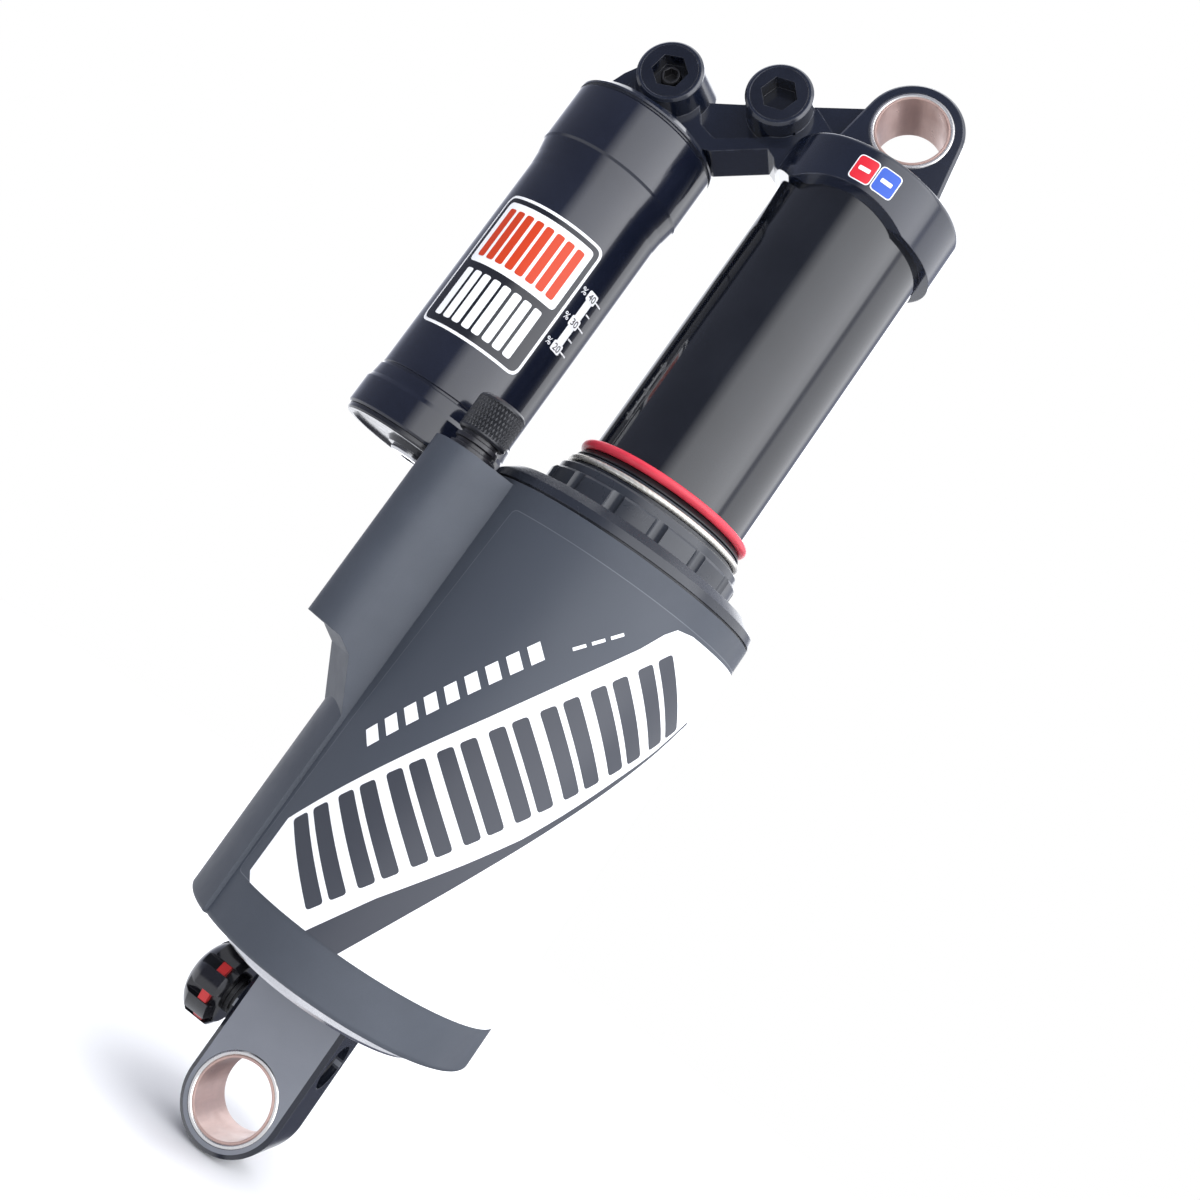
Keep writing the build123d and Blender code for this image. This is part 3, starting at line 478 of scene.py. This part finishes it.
def both_ways(edge):
    """An open edge on the front, joined to its mirror image on the back."""
    return [can.at(*p) for p in edge] + [can.at(HALF_TURN - az, z) for az, z in reversed(edge)]


outline = both_ways([(-38.0, RIM_Z), (-36.0, SHEET_KNEE), (-30.5, SHEET_TOP)])
# the sheet's pale border is a painted highlight along its edge
can.sheet("can_sheet_highlight_edge", rounded(outline, 1.2), "edge", 0)
inner = [(s + (SHEET_INSET if s < turn_s / 2 else -SHEET_INSET),
          z + (SHEET_INSET if z < SHEET_KNEE else -SHEET_INSET)) for s, z in outline]
can.sheet("can_sheet", rounded(inner, 1.1), "charcoal", 1)

# the white panel's slanted upper edge
BAND = [(-32.3, RIM_Z + 1.3), (-32.0, 42.3), (-22.9, 49.2), (-7.1, 61.2), (7.8, 72.4), (23.8, 84.9),
        (36.5, 94.4), (40.9, 98.4), (44.2, 100.3), (51.1, 101.0), (90.0, 101.2)]
outline = both_ways(BAND) + [can.at(HALF_TURN - PANEL_FOOT, RIM_Z), can.at(PANEL_FOOT, RIM_Z)]
can.sheet("can_white_panel", outline, "white", 2)

# the dark swoosh's upper and lower edges
INNER_EDGE = [(-1.0, RIM_Z), (11.6, 41.1), (28.6, 52.2), (40.3, 60.1), (47.6, 66.0), (59.5, 75.8),
              (68.9, 82.9), (77.0, 89.9)]
OUTER_EDGE = [(78.0, 89.8), (69.7, 82.5), (60.7, 75.0), (49.0, 65.2), (36.1, 53.9), (23.0, 42.0),
              (11.7, RIM_Z)]
# plain slabs across the panel: the ends of the row's two long sides, as sheet coordinates
ROW_TOP = ((-14.0, 42.4), (23.2, 98.0))
ROW_FOOT = ((-2.4, 33.4), (35.0, 89.0))
SLAB_PAIRS = 8
SLABS = (("a", (0.05, 0.38)), ("b", (0.50, 0.83)))      # shares of a pair's length
# bars above the panel's slanted edge: first and last place, how many, share filled, rise in mm
BARS = {"small": ((-21.5, 58.2), (13.5, 85.6), 9, 0.62, (-2.2, 1.9)),
        "thin": ((18.0, 88.0), (30.5, 95.2), 3, 0.7, (-0.4, 0.35))}
# dotted tear line
SEAM_AZ = 85.0
SEAM_Z = 52.0
SEAM_PITCH = 1.45
SEAM_DASH = 0.6
SEAM_HALF_WIDTH = 0.09
SEAM_DASHES = 18
seam_s = can.at(SEAM_AZ, 0)[0]

for side, turn in (("front", None), ("back", turn_s)):
    can.sheet("can_swoosh_" + side, [can.at(*p) for p in INNER_EDGE + OUTER_EDGE], "dark", 3, turn)
    for i in range(SLAB_PAIRS):
        for part, shares in SLABS:
            t0, t1 = ((i + share) / SLAB_PAIRS for share in shares)
            slab = [between(*ROW_FOOT, t0), between(*ROW_FOOT, t1),
                    between(*ROW_TOP, t1), between(*ROW_TOP, t0)]
            can.sheet(f"can_slab_{side}_{i}{part}", rounded(slab, 0.6, 3), "dark", 3, turn)
    for kind, (first, last, count, filled, (rise_s, rise_z)) in BARS.items():
        first, last = can.at(*first), can.at(*last)
        for i in range(count):
            base, tip = between(first, last, i / count), between(first, last, (i + filled) / count)
            bar = [base, tip, (tip[0] + rise_s, tip[1] + rise_z), (base[0] + rise_s, base[1] + rise_z)]
            can.sheet(f"can_{kind}_bar_{side}_{i}", bar, "white", 3, turn)
    for i in range(SEAM_DASHES):
        z = SEAM_Z + i * SEAM_PITCH
        dash = box_outline(seam_s - SEAM_HALF_WIDTH, z, seam_s + SEAM_HALF_WIDTH, z + SEAM_DASH)
        can.sheet(f"can_seam_{side}_{i}", dash, "pale", 3, turn)


# ---------------------------------------------------------------- the reservoir's label and gauge

RES_WAIST = 0.9         # the reservoir's wall lies this far inside its ends
LABEL_BORDER = 0.55
LABEL_MARGIN = 2.6      # from the label's side to its bars
PANEL_Z = 136.0         # foot of the label's white panel
BAR_PAIRS = 4
LABEL_BARS = (("a", (0.05, 0.42)), ("b", (0.56, 0.93)))     # shares of a pair's width
# rows of plain bars: name, foot, top, ink, layer
BAR_ROWS = (("upper", 137.3, 147.7, "orange", 3), ("lower", 124.4, 134.6, "white", 2))

reservoir = Barrel("damper", RES_X, RES_R - RES_WAIST * MM, 1.0)
s0, z0 = reservoir.at(-43.0, 122.5)
s1, z1 = reservoir.at(50.0, 150.5)
reservoir.sheet("reservoir_label_edge", box_outline(s0, z0, s1, z1, 2.0), "white", 0)
ground = box_outline(s0 + LABEL_BORDER, z0 + LABEL_BORDER, s1 - LABEL_BORDER, z1 - LABEL_BORDER, 1.6)
reservoir.sheet("reservoir_label_ground", ground, "gloss", 1)
reservoir.sheet("reservoir_label_panel", box_outline(s0 + 1.6, PANEL_Z, s1 - 1.6, z1 - 1.5, 1.0), "white", 2)
wide = (s1 - s0 - 2 * LABEL_MARGIN) / BAR_PAIRS
for i in range(BAR_PAIRS):
    left = s0 + LABEL_MARGIN + i * wide
    for part, (t0, t1) in LABEL_BARS:
        for row, foot, top, ink, layer in BAR_ROWS:
            reservoir.sheet(f"reservoir_{row}_bar_{i}{part}",
                            box_outline(left + wide * t0, foot, left + wide * t1, top, 0.5), ink, layer)

# sag gauge: white strip with dark percent numbers, and ticks beside it, every other one long
TICKS = (142.9, 140.1, 137.4, 134.6, 131.9)
TICK_GAP = 0.25
TICK_HALF = 0.14
LONG_TICK, SHORT_TICK = 2.4, 1.4
FIGURE_H = 1.36
FIGURE_BOX = (1.35, 1.0)    # half sizes of the plate under a number
PERCENT_SHIFT = 1.7         # the percent sign stands this far left of the strip's middle

g0, g1 = reservoir.at(60.5, 0)[0], reservoir.at(68.0, 0)[0]
g_mid = (g0 + g1) / 2
reservoir.sheet("sag_strip", box_outline(g0, 131.4, g1, 143.8, 0.3), "white", 0)
for i, z in enumerate(TICKS):
    reach = SHORT_TICK if i % 2 else LONG_TICK
    tick = box_outline(g1 + TICK_GAP, z - TICK_HALF, g1 + TICK_GAP + reach, z + TICK_HALF)
    reservoir.sheet(f"sag_tick_{i}", tick, "white", 0)
for text, z in zip(("40", "30", "20"), TICKS[::2]):
    plate = box_outline(g_mid - FIGURE_BOX[0], z - FIGURE_BOX[1],
                        g_mid + FIGURE_BOX[0], z + FIGURE_BOX[1], 0.4)
    foot = z - FIGURE_H / 2
    reservoir.sheet("sag_box_" + text, plate, "white", 1)
    reservoir.figures("sag_figure_" + text, text, g_mid, foot, FIGURE_H, "gloss", 2, "CENTER")
    reservoir.figures("sag_percent_" + text, "%", g_mid - PERCENT_SHIFT, foot, FIGURE_H, "white", 1, "RIGHT")


# ---------------------------------------------------------------- two plain tune labels on the head's ring

RING_WALL = 1.9         # the ring stands this far proud of the tube
TUNE_FOOT, TUNE_TOP = 181.3, 186.2
TUNE_BORDER = 0.2
TUNE_BAR = (1.1, 0.4)   # half sizes of the bar in a label's middle
TUBE_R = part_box("damper_tube")[1].x
head_ring = Barrel("damper", 0.0, TUBE_R + RING_WALL * MM, 1.0)
for name, a0, a1 in (("red", -7.0, 6.7), ("blue", 7.3, 21.5)):
    left, right = head_ring.at(a0, 0)[0], head_ring.at(a1, 0)[0]
    head_ring.sheet(f"tune_edge_{name}", box_outline(left, TUNE_FOOT, right, TUNE_TOP, 0.9), "white", 0)
    face = box_outline(left + TUNE_BORDER, TUNE_FOOT + TUNE_BORDER,
                       right - TUNE_BORDER, TUNE_TOP - TUNE_BORDER, 0.75)
    head_ring.sheet(f"tune_label_{name}", face, name, 1)
    s, z = (left + right) / 2, (TUNE_FOOT + TUNE_TOP) / 2
    bar = box_outline(s - TUNE_BAR[0], z - TUNE_BAR[1], s + TUNE_BAR[0], z + TUNE_BAR[1], 0.2)
    head_ring.sheet(f"tune_bar_{name}", bar, "white", 2)


# ---------------------------------------------------------------- knurled valve cap

def knurled_cap():
    """A turned dust cap whose side is cut by two crossing sets of helical grooves."""
    around = 240            # points round the cap
    starts = 40             # grooves in each set
    knurl_rows = 44
    lead = 0.55             # grooves that a groove passes per mm of height
    half_groove = 0.22      # half a groove's width over the grooves' pitch
    depth_mm = 0.30
    bore = 3.0
    roof_mm = 1.0           # thickness over the bore
    low, high = cap_lo.z, cap_hi.z
    outer = (cap_hi.x - cap_lo.x) / 2 / MM
    tall = (high - low) / MM
    # radius, height and whether the knurl cuts there
    profile = [(bore, 0.6, 0), (bore, 0.0, 0), (outer - 0.35, 0.0, 0), (outer, 0.35, 0)]
    for k in range(knurl_rows + 1):
        profile.append((outer, 0.6 + (tall - 1.5) * k / knurl_rows, 1 if 0 < k < knurl_rows else 0))
    profile += [(outer - 0.15, tall - 0.55, 0), (outer - 0.7, tall - 0.1, 0), (outer - 1.2, tall, 0),
                (1.2, tall, 0), (1.0, tall - 0.15, 0)]

    def groove(turn, z):
        """How deep the deeper of the two crossing grooves is, from 0 to 1."""
        depth = 0.0
        for way in (1, -1):
            phase = (turn * starts + way * z * lead) % 1.0
            depth = max(depth, 1 - min(phase, 1 - phase) / half_groove)
        return depth

    shape = bmesh.new()

    def vertex(turn, radius, z):
        angle = 2 * math.pi * turn
        return shape.verts.new((CAP_AT.x + radius * MM * math.cos(angle),
                                CAP_AT.y + radius * MM * math.sin(angle), z))

    turns = [i / around for i in range(around)]
    rings = []
    for radius, z, cut in profile:
        rings.append([vertex(turn, radius - (depth_mm * groove(turn, z) if cut else 0.0), low + z * MM)
                      for turn in turns])
    for below, above in zip(rings, rings[1:]):
        for i in range(around):
            j = (i + 1) % around
            shape.faces.new((below[i], below[j], above[j], above[i]))
    shape.faces.new(rings[-1])
    # the bore over the valve's thread
    roof = [vertex(turn, bore, high - roof_mm * MM) for turn in turns]
    for i in range(around):
        j = (i + 1) % around
        shape.faces.new((rings[0][j], rings[0][i], roof[i], roof[j]))
    shape.faces.new(list(reversed(roof)))
    bmesh.ops.recalc_face_normals(shape, faces=shape.faces[:])
    name = "knurled_valve_cap"
    cap = placed(name, mesh_of(name, shape, materials["knurled_cap"]))
    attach(cap, "valve_cap")
    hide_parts("valve_cap")


knurled_cap()


# ---------------------------------------------------------------- floor, light, camera

FLOOR_GAP = 0.4         # mm under the lowest point
FLOOR_R = 4.0
FADE_FROM, FADE_TO = 0.12, 0.45
WALL_STRENGTH = 4.5
# the walls' brightness by compass direction, in degrees from -Y round through +X
WALLS = [(-180, 0.60), (-170, 0.45), (-155, 0.50), (-143, 0.34), (-128, 0.13), (-104, 0.065), (-14, 0.050),
         (4, 0.50), (40, 0.64), (72, 0.86), (82, 0.70), (85, 0.22), (89, 0.22), (93, 0.42), (146, 0.38),
         (158, 0.10), (168, 0.10), (174, 0.55), (180, 0.60)]
OVERHEAD_AT = (0.15, -0.15, 1.1)
OVERHEAD_SIZE = 0.9
OVERHEAD_WATTS = 9.0
CAMERA_AT = (0.06061, -0.24307, 0.0747)
CAMERA_TURN = (100.064, -34.386, 7.037)
CAMERA_LENS = 43.619
CAMERA_SHIFT = (-0.05, -0.0333)


def paper_floor():
    """White paper that fades into the backdrop away from the object."""
    mat, tree, shader = new_material("floor_paper")
    mottle = noise(tree, scaled(tree), 40.0)
    tree.links.new(mixed(tree, mottle, (0.90, 0.90, 0.91), (0.93, 0.93, 0.93)), shader.inputs["Base Color"])
    shader.inputs["Roughness"].default_value = 0.9
    shader.inputs["Specular IOR Level"].default_value = 0.1
    coords = tree.nodes.new("ShaderNodeTexCoord")
    reach = tree.nodes.new("ShaderNodeVectorMath")
    reach.operation = "LENGTH"
    tree.links.new(coords.outputs["Object"], reach.inputs[0])
    glow = tree.nodes.new("ShaderNodeEmission")
    glow.inputs["Color"].default_value = (1, 1, 1, 1)
    glow.inputs["Strength"].default_value = 1.0
    blend = tree.nodes.new("ShaderNodeMixShader")
    tree.links.new(spread(tree, reach.outputs["Value"], FADE_FROM, FADE_TO, 0.0, 1.0), blend.inputs[0])
    tree.links.new(shader.outputs[0], blend.inputs[1])
    tree.links.new(glow.outputs[0], blend.inputs[2])
    out = [n for n in tree.nodes if n.bl_idname == "ShaderNodeOutputMaterial"][0]
    tree.links.new(blend.outputs[0], out.inputs[0])

    shape = bmesh.new()
    bmesh.ops.create_circle(shape, cap_ends=True, segments=96, radius=FLOOR_R)
    floor = placed("floor", mesh_of("floor", shape, mat))
    floor.location.z = cad_lo.z - FLOOR_GAP * MM
    floor.visible_glossy = False


def studio_walls():
    """White to the camera; to everything else, walls whose brightness goes by direction."""
    world = bpy.data.worlds.new("studio")
    bpy.context.scene.world = world
    world.use_nodes = True
    tree = world.node_tree
    tree.nodes.clear()
    out = tree.nodes.new("ShaderNodeOutputWorld")
    seen = tree.nodes.new("ShaderNodeBackground")
    seen.inputs["Color"].default_value = (1, 1, 1, 1)
    seen.inputs["Strength"].default_value = 1.0
    lit = tree.nodes.new("ShaderNodeBackground")
    lit.inputs["Strength"].default_value = WALL_STRENGTH
    coords = tree.nodes.new("ShaderNodeTexCoord")
    split = tree.nodes.new("ShaderNodeSeparateXYZ")
    tree.links.new(coords.outputs["Generated"], split.inputs[0])
    from_front = math_node(tree, "MULTIPLY", split.outputs["Y"], -1.0)
    azimuth = math_node(tree, "ARCTAN2", split.outputs["X"], from_front)
    ramp = tree.nodes.new("ShaderNodeValToRGB")
    tree.links.new(spread(tree, azimuth, -math.pi, math.pi, 0.0, 1.0), ramp.inputs["Fac"])
    stops = ramp.color_ramp.elements
    while len(stops) < len(WALLS):
        stops.new(0.5)
    for stop, (degrees, level) in zip(stops, WALLS):
        stop.position = (degrees + 180) / 360
        # the darker a wall, the bluer it is
        blue = 1.0 - min(1.0, level / 0.3)
        stop.color = (level * (0.97 - 0.07 * blue), level * (0.985 - 0.01 * blue),
                      level * (1.03 + 0.30 * blue), 1)
    # overhead the light is even
    above = spread(tree, split.outputs["Z"], 0.80, 0.97, 0.0, 1.0)
    sky = mixed(tree, above, ramp.outputs["Color"], (0.24, 0.245, 0.255))
    # the glow from below stops short of the far right, which leaves flat sides facing +X dark
    far_right = spread(tree, azimuth, math.radians(132), math.radians(150), 0.0, 1.0)
    glow_below = mixed(tree, far_right, (0.190, 0.195, 0.208), (0.030, 0.032, 0.042))
    below = spread(tree, split.outputs["Z"], -0.08, -0.20, 0.0, 1.0)
    tree.links.new(mixed(tree, below, sky, glow_below), lit.inputs["Color"])
    path = tree.nodes.new("ShaderNodeLightPath")
    chosen = tree.nodes.new("ShaderNodeMixShader")
    tree.links.new(path.outputs["Is Camera Ray"], chosen.inputs[0])
    tree.links.new(lit.outputs[0], chosen.inputs[1])
    tree.links.new(seen.outputs[0], chosen.inputs[2])
    tree.links.new(chosen.outputs[0], out.inputs[0])


def overhead_light():
    data = bpy.data.lights.new("overhead", "AREA")
    data.shape = "RECTANGLE"
    data.size = data.size_y = OVERHEAD_SIZE
    data.energy = OVERHEAD_WATTS
    light = placed("overhead", data)
    light.location = OVERHEAD_AT
    towards = (cad_lo + cad_hi) / 2 - Vector(OVERHEAD_AT)
    light.rotation_euler = towards.to_track_quat("-Z", "Y").to_euler()
    light.visible_glossy = False


def camera():
    data = bpy.data.cameras.new("camera")
    cam = placed("camera", data)
    cam.location = CAMERA_AT
    cam.rotation_euler = [math.radians(angle) for angle in CAMERA_TURN]
    data.sensor_width = 36.0
    data.lens = CAMERA_LENS
    data.shift_x, data.shift_y = CAMERA_SHIFT
    data.clip_start = 0.01
    data.clip_end = 50.0
    bpy.context.scene.camera = cam


paper_floor()
studio_walls()
overhead_light()
camera()
bpy.context.scene.view_settings.view_transform = "Standard"
